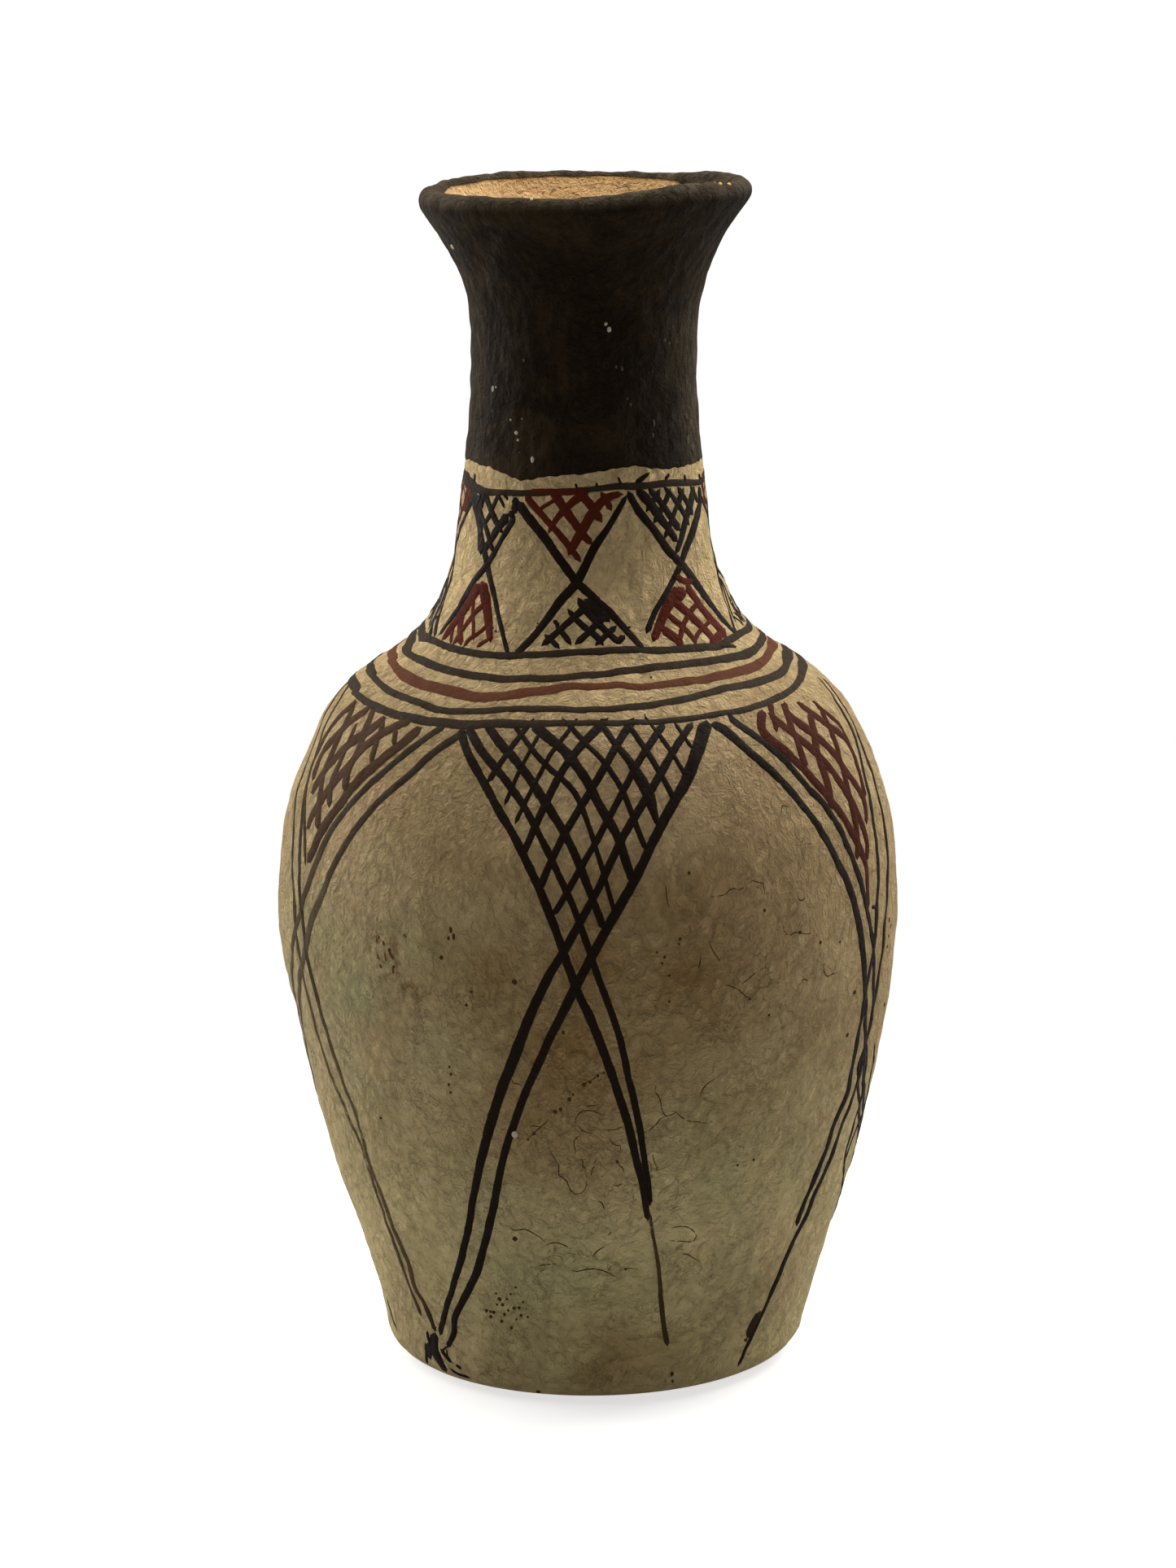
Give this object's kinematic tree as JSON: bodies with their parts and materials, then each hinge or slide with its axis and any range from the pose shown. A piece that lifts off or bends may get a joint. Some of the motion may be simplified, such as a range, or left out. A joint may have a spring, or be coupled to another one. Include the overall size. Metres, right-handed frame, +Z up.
{
  "type": "clay jug",
  "caption": "Tall hand-built clay jug with an egg-shaped body, long neck and flared mouth, painted with dark and red bands, lines and hatched triangles.",
  "frame": {"origin": "on the ground, under the middle of the belly", "axes": "+Z up along the jug's height; the side shown in the picture faces -Y"},
  "size_m": [0.155, 0.155, 0.2968],
  "materials": {
    "cream_slip": "matte cream slip over lumpy fired clay, finely crazed",
    "dark_slip": "matte brown-black slip with faint smoothing marks",
    "bare_clay": "gritty unglazed orange clay",
    "dark_paint": "brushed matte dark brown mineral paint",
    "red_paint": "brushed matte red ochre paint"
  },
  "bodies": {
    "root": {"base_slab": "bare_clay", "foot_coil": "cream_slip", "lower_wall_coil_1": "cream_slip", "lower_wall_coil_2": "cream_slip", "lower_wall_coil_3": "cream_slip", "belly_coil_1": "cream_slip", "belly_coil_2": "cream_slip", "shoulder_coil_1": "cream_slip", "shoulder_coil_2": "cream_slip", "neck_root_coil": "cream_slip", "neck_coil_1": "cream_slip", "neck_coil_2": "cream_slip", "neck_coil_3": "dark_slip", "rim_coil": "dark_slip"}
  },
  "joints": []
}
